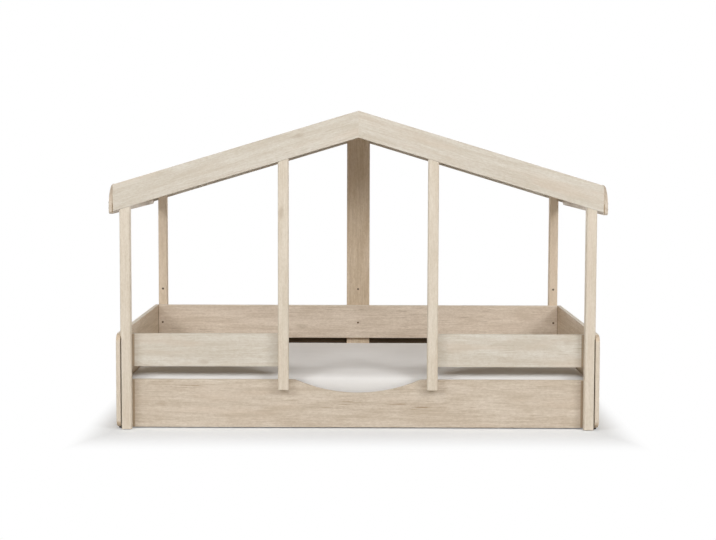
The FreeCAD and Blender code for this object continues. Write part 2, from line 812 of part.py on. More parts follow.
bolts("post_bolts",
      [((x, -inner_face, z), -Y) for x, z in front_bolts]
      + [((x, inner_face, z), Y) for x, z in rear_bolts],
      board + bolt_in_post)
bolts("centre_board_bolts", [((x, inner_face, z), Y) for x, z in centre_bolts],
      board + bolt_in_board)
bolts("rafter_bolts",
      [((side * place, -post_back, rafter_middle_at(place)), -Y)
       for _, side in SIDES for place in (corner_post_place, middle_post_place)]
      + [((side * place, post_back, rafter_middle_at(place)), Y)
         for _, side in SIDES for place in (corner_post_place, bolt_spread)],
      board + bolt_in_board)
bolts("end_panel_bolts",
      [((side * (half_length + board), front * post_line, height), -side * X)
       for _, side in SIDES for front in (-1, 1) for height in (low_end_bolt, high_end_bolt)],
      board + bolt_in_post)
fasteners("hole_caps",
          [((place, post_back, spare_hole), Y)
           for place in (-corner_post_place, as_size(0), corner_post_place)],
          bolt_diameter, cap_stem, bolt_head, screw_head_height)

screws("ledge_screws",
       [((x, front * (inner_face - ledge_depth), z), front * Y)
        for front in (-1, 1) for x, z in ledge_screws],
       ledge_depth + bolt_in_board)
screws("eave_screws",
       [((side * (rafter_end + board), front * (post_front - board / 2), height), -side * X)
        for _, side in SIDES for front in (-1, 1) for height in eave_screw_heights],
       board + screw_in_end)
screws("apex_screws", [((x, plate_thick - tongue_face, z), -Y) for x, z in plate_screws],
       plate_thick + bolt_in_board)
screws("holder_screws",
       [((side * (half_length - holder_wall), front * holder_screw_place,
          holder_screw_height), side * X)
        for _, side in SIDES for front in (-1, 1)],
       holder_wall + bolt_in_board)
screws("stretcher_screws", [((x, post_front, z), -Y) for x, z in stretcher_screw_pair],
       board + bolt_in_board)

pins("stretcher_dowels",
     [(side * stretcher_end - dowel_reach, dowel_line, height)
      for _, side in SIDES for height in dowel_heights],
     X, SHANK_SIDE_COUNT, dowel_diameter, 2 * dowel_reach)
pins("slat_pegs", [(x, y, slat_level - peg_reach) for x, y in peg_places],
     Z, SHANK_SIDE_COUNT, dowel_diameter, 2 * peg_reach)
pins("glides",
     [(side * (half_length + board / 2), front * (panel_edge - glide_inset), as_size(0))
      for _, side in SIDES for front in (-1, 1)],
     Z, HEAD_SIDE_COUNT, glide_diameter, glide_height)

bands = []
band_half = slat_half_row + slat_width / 2
for number, front in enumerate((-1, 1), 1):
    band = doc.addObject("Part::Box", f"slat_band_{number}")
    bind(band, "Length", 2 * band_half)
    bind(band, "Width", band_width)
    bind(band, "Height", band_thick)
    place_at(band, (-band_half, front * band_place - band_width / 2, slat_level - band_thick),
             aimed(Z))
    bands.append(band)
group("slat_bands", bands)


# ------------------------------------------------------------------ mattress

def mattress_section(place, inset, crown):
    """Closed outline across the mattress: crowned top, sides drawn in between the rims."""
    half = (inner_face - mattress_play).value - inset
    low = slat_top.value + fit.value
    high = low + mattress_height.value - inset
    low += inset
    rim = mattress_round.value
    waist = mattress_waist.value
    slant = rim * (1 - math.sqrt(0.5))
    middle = (low + high) / 2

    def at(y, z):
        return FreeCAD.Vector(place, y, z)

    edges = [Part.LineSegment(at(-half + rim, low), at(half - rim, low)).toShape()]
    for side in (1, -1):
        rise = (low, high) if side > 0 else (high, low)
        turn = 1 if side > 0 else -1
        edges.append(Part.Arc(at(side * (half - rim), rise[0]),
                              at(side * (half - slant), rise[0] + turn * slant),
                              at(side * half, rise[0] + turn * rim)).toShape())
        edges.append(Part.Arc(at(side * half, rise[0] + turn * rim),
                              at(side * (half - waist), middle),
                              at(side * half, rise[1] - turn * rim)).toShape())
        edges.append(Part.Arc(at(side * half, rise[1] - turn * rim),
                              at(side * (half - slant), rise[1] - turn * slant),
                              at(side * (half - rim), rise[1])).toShape())
        if side > 0:
            edges.append(Part.Arc(at(half - rim, high), at(0, high + crown),
                                  at(-half + rim, high)).toShape())
    return Part.Wire(edges)


def mattress_shape():
    """Straight-ruled sections: quarter rounds at both ends, the crown in between."""
    half = (half_length - mattress_play).value
    rim = mattress_round.value
    stations = []
    for angle in (0, 30, 60, 90):
        turn = math.radians(angle)
        stations.append((half - rim * (1 - math.cos(turn)), rim * (1 - math.sin(turn))))
    stations += [(half * share, 0) for share in CROWN_STATIONS]

    def crown_at(place):
        return mattress_crown.value * max(1 - (abs(place) / half) ** 4, FLATTEST_CROWN)

    places = [(-place, inset) for place, inset in stations] + [(0, 0)]
    places += [(place, inset) for place, inset in reversed(stations)]
    sections = [mattress_section(place, inset, crown_at(place)) for place, inset in places]
    return Part.makeLoft(sections, True, True)


mattress = doc.addObject("Part::Feature", "mattress")
mattress.Label = "mattress"
mattress.Shape = mattress_shape()
nodes.append(mattress)


# ------------------------------------------------------------ check and save

doc.recompute()
nodes += [item for item in doc.Objects if item.TypeId == "PartDesign::Body"]
faults = [item.Name for item in doc.Objects
          if "Invalid" in item.State or "Error" in item.State]
faults += [node.Label for node in nodes if node.Shape.isNull() or not node.Shape.isValid()]
cuts = [item for item in doc.Objects if item.TypeId == "PartDesign::Pocket"]
faults += [cut.Name for cut in cuts if not cut.Shape.isNull()
           and cut.Shape.Volume > cut.BaseFeature.Shape.Volume - 1]
if faults:
    sys.exit("not written, faults in: " + ", ".join(faults))

os.makedirs("parts", exist_ok=True)
for node in nodes:
    node.Shape.exportStep(f"parts/{node.Label}.step")
print(len(nodes), "nodes written")
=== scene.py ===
import math

import bpy
import numpy as np
from mathutils import Matrix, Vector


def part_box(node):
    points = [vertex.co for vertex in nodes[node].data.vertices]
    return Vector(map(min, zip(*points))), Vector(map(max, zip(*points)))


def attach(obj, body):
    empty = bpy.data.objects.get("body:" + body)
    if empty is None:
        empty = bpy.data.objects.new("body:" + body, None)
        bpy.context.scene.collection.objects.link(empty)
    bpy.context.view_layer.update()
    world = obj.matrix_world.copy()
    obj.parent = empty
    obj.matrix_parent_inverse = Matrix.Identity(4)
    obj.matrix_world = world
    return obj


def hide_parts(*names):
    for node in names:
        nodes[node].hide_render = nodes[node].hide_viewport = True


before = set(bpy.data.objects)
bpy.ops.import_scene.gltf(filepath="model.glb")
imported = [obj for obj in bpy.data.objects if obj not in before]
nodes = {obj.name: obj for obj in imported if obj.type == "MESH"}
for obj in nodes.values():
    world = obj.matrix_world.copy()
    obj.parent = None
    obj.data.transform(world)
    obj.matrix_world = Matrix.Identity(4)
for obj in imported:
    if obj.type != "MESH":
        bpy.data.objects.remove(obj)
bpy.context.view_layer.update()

scene = bpy.context.scene


# ------------------------------------------------------------ end panels
# The head and foot boards: 18 mm chipboard with a pale oak decor, the grain from
# front to back, corners rounded on a router, the front and back edges banded in a paler
# decor, and the top edge paler still as a painted highlight.
# Each is bolted through its face into the two corner posts.

PALE_OAK = (0.725, 0.655, 0.570)
TAN_OAK = (0.520, 0.440, 0.350)
STREAK_AND_SHADE_OAK = (0.330, 0.240, 0.155)
PINK_OAK = (0.640, 0.530, 0.430)
SCUFFED_AND_HIGHLIT_OAK = (0.760, 0.690, 0.590)


def add(tree, kind, inputs=None, **settings):
    """One node of a tree; inputs are numbers or colours to set, or sockets to link."""
    item = tree.nodes.new(kind)
    for label, value in settings.items():
        setattr(item, label, value)
    for label, value in (inputs or {}).items():
        if isinstance(value, bpy.types.NodeSocket):
            tree.links.new(value, item.inputs[label])
        else:
            item.inputs[label].default_value = value
    return item


def sums(tree, operation, first, second=0.0, clamp=False):
    """A math node's result."""
    item = add(tree, "ShaderNodeMath", {0: first, 1: second}, operation=operation,
               use_clamp=clamp)
    return item.outputs[0]


def times(tree, first, second):
    """Two values multiplied."""
    return sums(tree, "MULTIPLY", first, second)


def plus(tree, first, second, clamp=False):
    """Two values added, cut off at 1 where clamp is true."""
    return sums(tree, "ADD", first, second, clamp)


def between(tree, value, low, high):
    """0 below low and 1 above high, smooth between them."""
    item = add(tree, "ShaderNodeMapRange", {"Value": value, "From Min": low, "From Max": high},
               interpolation_type="SMOOTHSTEP")
    return item.outputs["Result"]


def noise(tree, place, scale, detail=3.0, roughness=0.55):
    """Soft clouds, about 0 to 1, the same in all directions."""
    item = add(tree, "ShaderNodeTexNoise",
               {"Vector": place, "Scale": scale, "Detail": detail, "Roughness": roughness})
    return item.outputs["Fac"]


def stretched(tree, place, along, across):
    """A place whose measures along the grain and across it are scaled on their own."""
    item = add(tree, "ShaderNodeVectorMath",
               {0: place, 1: (along, across, across)}, operation="MULTIPLY")
    return item.outputs[0]


def drawn_noise(tree, place, along, across, detail=3.0, roughness=0.55):
    """Clouds drawn out along the grain, so many to the metre along it and across it."""
    return noise(tree, stretched(tree, place, along, across), 1.0, detail, roughness)


def blend_colours(tree, share, first, second):
    """The first colour with a share of the second mixed in."""
    item = tree.nodes.new("ShaderNodeMix")
    item.data_type = "RGBA"
    for socket, value in ((item.inputs[0], share), (item.inputs[6], first),
                          (item.inputs[7], second)):
        if isinstance(value, bpy.types.NodeSocket):
            tree.links.new(value, socket)
        elif isinstance(value, tuple):
            socket.default_value = (*value, 1.0)
        else:
            socket.default_value = value
    return item.outputs[2]


def new_group(name, inputs, outputs):
    """An empty node group with named inputs and outputs, and its two end nodes."""
    group = bpy.data.node_groups.new(name, "ShaderNodeTree")
    for label, kind, value in inputs:
        socket = group.interface.new_socket(label, in_out="INPUT", socket_type=kind)
        if value is not None:
            socket.default_value = value
    for label, kind in outputs:
        group.interface.new_socket(label, in_out="OUTPUT", socket_type=kind)
    return group, group.nodes.new("NodeGroupInput"), group.nodes.new("NodeGroupOutput")


def make_grain():
    """Pale oak as a printed decor, its grain along X of the place that comes in.

    Every layer is a noise drawn out along the grain: soft bands as long as a hand,
    short strokes, fibres and pores. The figure is the set of level lines of a slow
    noise, which gives the long tongues of a board cut flat. Streaks are the tops of a
    hair-fine noise inside slow patches, and knots are rare small dark eyes. A drawn
    noise is given as its clouds to the metre along and across, its detail and its
    roughness.
    """
    group, start, end = new_group("oak_grain", [
        ("Place", "NodeSocketVector", None),
        ("Pale", "NodeSocketColor", (*PALE_OAK, 1)),
        ("Tan", "NodeSocketColor", (*TAN_OAK, 1)),
        ("Streak", "NodeSocketColor", (*STREAK_AND_SHADE_OAK, 1)),
        ("Pink", "NodeSocketColor", (*PINK_OAK, 1)),
        ("Figure", "NodeSocketFloat", 0.5),
        ("Streaks", "NodeSocketFloat", 0.5),
    ], [("Color", "NodeSocketColor"), ("Relief", "NodeSocketFloat"),
        ("Roughness", "NodeSocketFloat")])
    place = start.outputs["Place"]
    wander = drawn_noise(group, place, 2.0, 6.0, 2.0)
    drift = add(group, "ShaderNodeCombineXYZ",
                {"Y": times(group, sums(group, "SUBTRACT", wander, 0.5), 0.004)})
    bent = add(group, "ShaderNodeVectorMath", {0: place, 1: drift.outputs[0]},
               operation="ADD").outputs[0]

    slow = drawn_noise(group, bent, 0.9, 12.0, 1.5, 0.4)
    rings = sums(group, "PINGPONG", times(group, slow, 15.0), 1.0)
    figure = between(group, rings, 0.35, 1.0)
    band = between(group, drawn_noise(group, bent, 4.5, 26.0, 3.5, 0.6), 0.34, 0.68)
    line = between(group, drawn_noise(group, bent, 9.0, 300.0, 4.0, 0.66), 0.36, 0.66)
    stroke = between(group, drawn_noise(group, bent, 70.0, 150.0, 5.0, 0.72), 0.34, 0.70)
    fibre = drawn_noise(group, bent, 60.0, 620.0, 4.0, 0.6)
    blush = between(group, drawn_noise(group, bent, 2.8, 17.0), 0.5, 0.7)
    pore = between(group, drawn_noise(group, bent, 45.0, 900.0, 2.0, 0.5), 0.62, 0.74)
    streaked = between(group, drawn_noise(group, place, 1.4, 9.0, 2.0), 0.42, 0.60)
    hair = between(group, drawn_noise(group, bent, 9.0, 230.0, 5.0, 0.66), 0.56, 0.68)
    streak = times(group, streaked, hair)
    eyes = add(group, "ShaderNodeTexVoronoi",
               {"Vector": stretched(group, bent, 3.2, 7.5), "Scale": 1.0, "Randomness": 1.0})
    knot = sums(group, "SUBTRACT", 1.0, between(group, eyes.outputs["Distance"], 0.03, 0.12))

    shade = times(group, figure, start.outputs["Figure"])
    for layer, weight in ((band, 0.34), (line, 0.42), (stroke, 0.48)):
        shade = plus(group, shade, times(group, layer, weight), clamp=True)
    dark = plus(group, times(group, streak, start.outputs["Streaks"]),
                times(group, knot, 0.28), clamp=True)
    colour = blend_colours(group, shade, start.outputs["Pale"], start.outputs["Tan"])
    for share, tone in ((times(group, blush, 0.30), "Pink"),
                        (times(group, between(group, fibre, 0.42, 0.72), 0.36), "Tan"),
                        (dark, "Streak"),
                        (times(group, pore, 0.25), "Streak")):
        colour = blend_colours(group, share, colour, start.outputs[tone])
    relief = sums(group, "SUBTRACT", times(group, fibre, 0.6), pore)
    rough = plus(group, times(group, fibre, 0.16), 0.60)
    group.links.new(colour, end.inputs["Color"])
    group.links.new(relief, end.inputs["Relief"])
    group.links.new(rough, end.inputs["Roughness"])
    return group


def make_edge_scuff_and_highlight():
    """Where the surface turns within a small radius: scuffed edges with a painted highlight, 0
    on the flat.

    The mask is one minus the cosine between the true normal and one that is
    smoothed over the radius, weaker in patches.
    """
    group, start, end = new_group("edge_scuff_and_highlight", [
        ("Radius", "NodeSocketFloat", 0.002),
        ("Place", "NodeSocketVector", None),
    ], [("Mask", "NodeSocketFloat")])
    soft = add(group, "ShaderNodeBevel", {"Radius": start.outputs["Radius"]}, samples=4)
    true = add(group, "ShaderNodeNewGeometry")
    turn = add(group, "ShaderNodeVectorMath",
               {0: soft.outputs["Normal"], 1: true.outputs["Normal"]}, operation="DOT_PRODUCT")
    turned = between(group, sums(group, "SUBTRACT", 1.0, turn.outputs["Value"]), 0.01, 0.16)
    patch = between(group, noise(group, start.outputs["Place"], 38.0, 3.0), 0.35, 0.65)
    mask = times(group, turned, plus(group, times(group, patch, 0.6), 0.4))
    group.links.new(mask, end.inputs["Mask"])
    return group


oak_grain = make_grain()
edge_scuff_and_highlight = make_edge_scuff_and_highlight()


def new_material(name):
    """A new material, its tree, its shader and its object place."""
    material = bpy.data.materials.new(name)
    material.use_nodes = True
    tree = material.node_tree
    where = add(tree, "ShaderNodeTexCoord").outputs["Object"]
    return material, tree, tree.nodes["Principled BSDF"], where


def emboss(tree, shader, height, strength, distance):
    """Raises the surface by a height, a distance in metres at height 1."""
    bump = add(tree, "ShaderNodeBump", {"Height": height, "Strength": strength,
                                        "Distance": distance})
    tree.links.new(bump.outputs["Normal"], shader.inputs["Normal"])


ALONG_X = (0.0, 0.0, 0.0)
ALONG_Y = (0.0, 0.0, -math.pi / 2)
ALONG_Z = (0.0, math.pi / 2, 0.0)


def oak(name, turn, shift, pale=PALE_OAK, tan=TAN_OAK, figure=0.25, streaks=0.4,
        streak=STREAK_AND_SHADE_OAK, pink=PINK_OAK):
    """Matt oak decor with its grain along the turned X, from its own part of the print."""
    material, tree, shader, where = new_material(name)
    turned = add(tree, "ShaderNodeMapping", {"Vector": where, "Rotation": turn,
                                             "Location": shift})
    decor = add(tree, "ShaderNodeGroup",
                {"Place": turned.outputs[0], "Pale": (*pale, 1), "Tan": (*tan, 1),
                 "Streak": (*streak, 1), "Pink": (*pink, 1), "Figure": figure,
                 "Streaks": streaks}, node_tree=oak_grain)
    # Sharply turned edges are paler: partly scuffing, partly a painted highlight.
    scuff_and_highlight = add(tree, "ShaderNodeGroup", {"Place": where}, node_tree=edge_scuff_and_highlight)
    scuffed_and_highlit = blend_colours(tree, times(tree, scuff_and_highlight.outputs["Mask"], 0.35),
                           decor.outputs["Color"], SCUFFED_AND_HIGHLIT_OAK)
    tree.links.new(scuffed_and_highlit, shader.inputs["Base Color"])
    tree.links.new(decor.outputs["Roughness"], shader.inputs["Roughness"])
    emboss(tree, shader, decor.outputs["Relief"], strength=0.18, distance=0.0006)
    shader.inputs["Specular IOR Level"].default_value = 0.08
    return material


def tinted(material, tint, share, reach):
    """The material with a share of a tint towards the edges of its board.

    For each axis in reach the tint comes in between two distances from the bed's
    middle plane, or for Z from the floor, and the axes multiply.
    """
    tree = material.node_tree
    shader = tree.nodes["Principled BSDF"]
    decor = shader.inputs["Base Color"].links[0].from_socket
    where = add(tree, "ShaderNodeTexCoord").outputs["Object"]
    apart = add(tree, "ShaderNodeSeparateXYZ", {0: where})
    mask = share
    for axis, (near, full) in reach.items():
        far = sums(tree, "ABSOLUTE", apart.outputs[axis])
        mask = times(tree, between(tree, far, near, full), mask)
    tree.links.new(blend_colours(tree, mask, decor, tint), shader.inputs["Base Color"])
    return material


def short_of(plane, near, full):
    """Where a tint starts and where it is full, both measured back from a plane."""
    return plane - near, plane - full


def finish_node(node, material):
    """Gives a solid its material, in each of its slots."""
    for place in nodes[node].material_slots:
        place.material = material


PANEL_OAK = (0.765, 0.660, 0.535)
PANEL_TAN = (0.555, 0.445, 0.325)
BAND_OAK = (0.690, 0.640, 0.560)
TOP_HIGHLIGHT_OAK = (0.840, 0.795, 0.710)
BAND_AND_HIGHLIGHT_EDGE = (0.0035, 0.0015)
panel_low, panel_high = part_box("end_panel_right")
END_EDGE = {"Y": short_of(panel_high[1], *BAND_AND_HIGHLIGHT_EDGE)}
TOP_HIGHLIGHT_EDGE = {"Z": short_of(panel_high[2], *BAND_AND_HIGHLIGHT_EDGE)}
for node, shift in (("end_panel_left", (0.3, 0.2, 0.1)), ("end_panel_right", (2.3, 1.2, 0.4))):
    board = oak(f"oak_{node}", ALONG_Y, shift, pale=PANEL_OAK, tan=PANEL_TAN)
    # A pale painted highlight along the top edge; the front and back edges get real paler
    # banding.
    board = tinted(board, TOP_HIGHLIGHT_OAK, share=0.9, reach=TOP_HIGHLIGHT_EDGE)
    finish_node(node, tinted(board, BAND_OAK, share=0.6, reach=END_EDGE))


# ---------------------------------------------------- rails and back panel
# Long boards of the same decor, grain along the bed: the front rail with its low entry,
# two guards, the rear rail and the back panel. Painted shade darkens the boards beside the
# posts and the ends of the back panel. The back panel is lightened as painted light and has
# a painted highlight along its top. The stretcher behind the slot under the back panel
# is painted near-black as the shade in that slot.

SILVER_OAK = (0.722, 0.698, 0.642)
SILVER_TAN = (0.575, 0.522, 0.442)
# The back panel's decor is paler than the rails to make up for light it misses: painted light.
BACK_LIGHTENED_OAK = (0.865, 0.772, 0.668)
BACK_LIGHTENED_TAN = (0.625, 0.525, 0.422)
STRETCHER_SHADE = (0.115, 0.083, 0.052)
STRETCHER_SHADE_DEEP = (0.068, 0.048, 0.029)
STRETCHER_SHADE_STREAK = (0.020, 0.014, 0.009)
post_low, post_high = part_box("rear_corner_post_right")
# Painted shade on the boards beside the posts and at the ends of the back panel.
POST_SEAM_SHADE = {"X": short_of(post_low[0], 0.0120, 0.0070),
             "Y": short_of(post_low[1], 0.0015, 0.0002)}
PANEL_SEAM_SHADE = {"X": short_of(panel_low[0], 0.0050, 0.0025)}
for node, shift, pale, tan, streaks, seam_shade in (
        ("front_rail", (0.0, 0.0, 0.0), PALE_OAK, TAN_OAK, 0.85, POST_SEAM_SHADE),
        ("front_guard_left", (3.1, 0.5, 0.7), SILVER_OAK, SILVER_TAN, 0.45, POST_SEAM_SHADE),
        ("front_guard_right", (5.2, 0.9, 0.2), SILVER_OAK, SILVER_TAN, 0.45, POST_SEAM_SHADE),
        ("rear_rail", (7.3, 0.1, 0.3), PALE_OAK, TAN_OAK, 0.35, POST_SEAM_SHADE),
        ("back_panel", (1.4, 0.8, 0.5), BACK_LIGHTENED_OAK, BACK_LIGHTENED_TAN, 0.70, PANEL_SEAM_SHADE)):
    board = oak(f"oak_{node}", ALONG_X, shift, pale=pale, tan=tan, streaks=streaks)
    # The back panel gets a painted highlight along its top edge.
    if node == "back_panel":
        board = tinted(board, TOP_HIGHLIGHT_OAK, share=0.5, reach=TOP_HIGHLIGHT_EDGE)
    finish_node(node, tinted(board, STREAK_AND_SHADE_OAK, share=0.8, reach=seam_shade))
# The stretcher is painted near-black as the shade in the slot under the back panel.
finish_node("rear_stretcher", oak("shade_painted_rear_stretcher", ALONG_X, (4.2, 0.3, 0.9),
                                  pale=STRETCHER_SHADE, tan=STRETCHER_SHADE_DEEP, pink=STRETCHER_SHADE,
                                  streak=STRETCHER_SHADE_STREAK))


# ---------------------------------------------------------------- posts
# Slim posts, 45 x 36 mm, wrapped in upright oak decor, their long edges rounded. A tongue
# at the top rises behind the rafter, and corner posts have a groove beside the end panel,
# painted near-black inside as shade. The rear posts take a warmer copy of the decor as
# painted warm shade. The wide board at the middle of the back is a plain one, grain upright
# as well, its decor paler and warmer as painted light and warm shade.

POST_OAK = (0.775, 0.715, 0.630)
POST_TAN = (0.630, 0.560, 0.460)
# The rear posts take a warmer copy of the decor: painted warm shade.
REAR_SHADE_WARMTH = 0.93
# The groove beside the end panel is painted near-black inside: painted shade.
GROOVE_SHADE = (0.060, 0.042, 0.026)
GROOVE_SHADE_WALL = {"X": short_of(post_high[0], 0.0046, 0.0041),
               "Z": short_of(panel_high[2], 0.018, 0.024)}
# The centre board's decor is paler and warmer than the others: painted light and warm shade.
CENTRE_LIGHTENED_OAK = (0.800, 0.692, 0.560)
CENTRE_LIGHTENED_TAN = (0.590, 0.470, 0.335)


def warmed(colour, warmth):
    """A colour with more red and less blue as warmth falls below 1."""
    red, green, blue = colour
    return red / warmth, green, blue * warmth


for number, node in enumerate(("front_corner_post_left", "front_corner_post_right",
                               "front_middle_post_left", "front_middle_post_right",
                               "rear_corner_post_left", "rear_corner_post_right")):
    warmth = REAR_SHADE_WARMTH if node.startswith("rear") else 1.0
    post = oak(f"oak_{node}", ALONG_Z, (0.7 * number, 0.31 * number, 0.17),
               pale=warmed(POST_OAK, warmth), tan=warmed(POST_TAN, warmth), figure=0.10,
               streaks=0.12)
    finish_node(node, tinted(post, GROOVE_SHADE, share=1.0, reach=GROOVE_SHADE_WALL))
finish_node("rear_centre_board", oak("oak_centre_board", ALONG_Z, (0.4, 0.6, 0.2),
                                     pale=CENTRE_LIGHTENED_OAK, tan=CENTRE_LIGHTENED_TAN, streaks=0.5))


# ---------------------------------------------------------------- rafters
# Boards mitred at the apex and cut plumb at the eaves, bolted to the tongues of the
# posts. Their grain runs down the slope, so each side of the roof has its own.

ROOF_ANGLE = math.radians(16.8)
for number, (node, side) in enumerate((("front_rafter_left", 1), ("front_rafter_right", -1),
                                       ("rear_rafter_left", 1), ("rear_rafter_right", -1))):
    finish_node(node, oak(f"oak_{node}", (0.0, side * ROOF_ANGLE, 0.0),
                          (1.1 * number, 0.4 * number, 0.3), pale=SILVER_OAK,
                          tan=SILVER_TAN, streaks=0.25))


# ------------------------------------------------------------- eave boards
# A short board across the rafter ends on each side, grain from front to back, with
# its upper corners cut to a wide round and screwed into the rafter ends. Painted shade
# darkens a thin strip of each end beside the rafter.

eave_low, eave_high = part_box("eave_board_right")
# Painted shade: a thin dark strip on each end of the board beside the rafter.
RAFTER_SEAM_SHADE = {"X": short_of(eave_low[0], -0.0055, -0.0035),
               "Y": short_of(eave_high[1], 0.0025, 0.0010)}
for node, shift in (("eave_board_left", (0.9, 0.4, 0.6)), ("eave_board_right", (1.9, 0.7, 0.2))):
    board = oak(f"oak_{node}", ALONG_Y, shift)
    finish_node(node, tinted(board, STREAK_AND_SHADE_OAK, share=0.9, reach=RAFTER_SEAM_SHADE))


# ------------------------------------------------------------ slatted base
# Fifteen sawn softwood slats on two ledges that are screwed to the rails, held apart
# by woven bands, with a beam on two blocks below their middle.

SLATS = 15
SOFTWOOD = (0.640, 0.470, 0.290)
SOFTWOOD_DARK = (0.470, 0.310, 0.170)
SOFTWOOD_PINK = (0.680, 0.490, 0.300)
SOFTWOOD_STREAK = (0.360, 0.220, 0.110)
for label, turn, members in (
        ("softwood_across", ALONG_Y, [f"slat_{number:02d}" for number in range(1, SLATS + 1)]),
        ("softwood_along", ALONG_X, ["ledge_front", "ledge_rear", "centre_beam",
                                     "stretcher_dowels"]),
        ("softwood_upright", ALONG_Z, ["centre_foot_left", "centre_foot_right", "slat_pegs"])):
    softwood = oak(label, turn, (0.5, 0.2, 0.8), pale=SOFTWOOD, tan=SOFTWOOD_DARK, figure=0.7,
                   streaks=0.2, pink=SOFTWOOD_PINK, streak=SOFTWOOD_STREAK)
    for node in members:
        finish_node(node, softwood)


def plain_material(name, colour, roughness, metallic=0.0):
    """A new material in one colour, its tree, its shader and its object place."""
    material, tree, shader, where = new_material(name)
    shader.inputs["Base Color"].default_value = (*colour, 1)
    shader.inputs["Roughness"].default_value = roughness
    shader.inputs["Metallic"].default_value = metallic
    return material, tree, shader, where


WEBBING = (0.560, 0.550, 0.505)
WEBBING_DARK = (0.330, 0.320, 0.290)
YARN_SCALE = 160.0


def woven(name, colour, dark):
    """Flat webbing: rows of yarn across the band, about 2 mm apart."""
    material, tree, shader, where = plain_material(name, colour, roughness=0.9)
    rows = add(tree, "ShaderNodeTexWave",
               {"Vector": where, "Scale": YARN_SCALE, "Distortion": 0.6},
               bands_direction="X").outputs["Fac"]
    tree.links.new(blend_colours(tree, times(tree, rows, 0.7), colour, dark),
                   shader.inputs["Base Color"])
    emboss(tree, shader, rows, strength=0.5, distance=0.0004)
    return material


finish_node("slat_bands", woven("woven_webbing", WEBBING, WEBBING_DARK))


# --------------------------------------------------------------- fasteners
# Bronzed furniture bolts in the frame, zinc-plated screws, apex plate and beam holders,
# brown plastic caps in the spare holes of the back and black glides under the panels.

BRONZE = (0.160, 0.105, 0.062)
ZINC = (0.400, 0.405, 0.410)
SCUFF_AND_HIGHLIGHT_GAIN = 1.6


def metal(name, colour, roughness):
    """Plated or painted metal with fine brushed scratches, and paler edges that are partly
    scuffing and partly a painted highlight.
    """
    material, tree, shader, where = plain_material(name, colour, roughness, metallic=1.0)
    scratch = drawn_noise(tree, where, 40.0, 900.0)
    # Paler edges: partly scuffing, partly a painted highlight.
    scuff_and_highlight_mask = add(tree, "ShaderNodeGroup", {"Place": where, "Radius": 0.0006}, node_tree=edge_scuff_and_highlight)
    paler = tuple(min(1.0, channel * SCUFF_AND_HIGHLIGHT_GAIN) for channel in colour)
    tree.links.new(blend_colours(tree, times(tree, scuff_and_highlight_mask.outputs["Mask"], 0.7), colour, paler),
                   shader.inputs["Base Color"])
    tree.links.new(plus(tree, times(tree, scratch, 0.25), roughness - 0.1),
                   shader.inputs["Roughness"])
    emboss(tree, shader, scratch, strength=0.2, distance=0.0001)
    return material


bronze = metal("bronzed_steel", BRONZE, roughness=0.45)
zinc = metal("zinc_plated_steel", ZINC, roughness=0.48)
for node in ("post_bolts", "centre_board_bolts", "rafter_bolts", "end_panel_bolts"):
    finish_node(node, bronze)
for node in ("apex_plate", "apex_screws", "eave_screws", "ledge_screws", "holder_screws",
             "stretcher_screws", "beam_holder_left", "beam_holder_right"):
    finish_node(node, zinc)

BROWN_PLASTIC = (0.110, 0.072, 0.042)
BLACK_PLASTIC = (0.018, 0.017, 0.016)
DULL_SHADE = 0.75


def moulded(name, colour, roughness):
    """Moulded plastic with a fine eroded texture and duller clouds."""
    material, tree, shader, where = plain_material(name, colour, roughness)
    cloud = between(tree, noise(tree, where, 60.0), 0.4, 0.7)
    darker = tuple(channel * DULL_SHADE for channel in colour)
    tree.links.new(blend_colours(tree, cloud, colour, darker), shader.inputs["Base Color"])
    pits = noise(tree, where, 1400.0, detail=2.0)
    emboss(tree, shader, pits, strength=0.25, distance=0.0002)
    return material


finish_node("hole_caps", moulded("brown_cap", BROWN_PLASTIC, roughness=0.5))
finish_node("glides", moulded("black_glide", BLACK_PLASTIC, roughness=0.6))


# ---------------------------------------------------------------- mattress
# A foam mattress, 1000 x 2000 mm, in a white knitted cover with shallow creases. Its
# top and sides are slightly domed, and it lies loose on the slats inside the rails.

low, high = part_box("mattress")
FOAM_TOP_SWELL = 0.004
COVER_PLAY = 0.003
MIDDLE_SHARE = 0.45
TOP_SOFTNESS = 0.22
PLAN_SQUARENESS = 0.045
UNDERSIDE_SOFTNESS = 0.06
VOXEL = 0.014
COVER_EASE = 0.02
PRESSURE = 4.0
SWELL_FRAMES = 20
SWELL_LIMIT = 0.006


def power(value, exponent):
    """A power of the size of a value, with the value's sign."""
    return np.sign(value) * np.abs(value) ** exponent


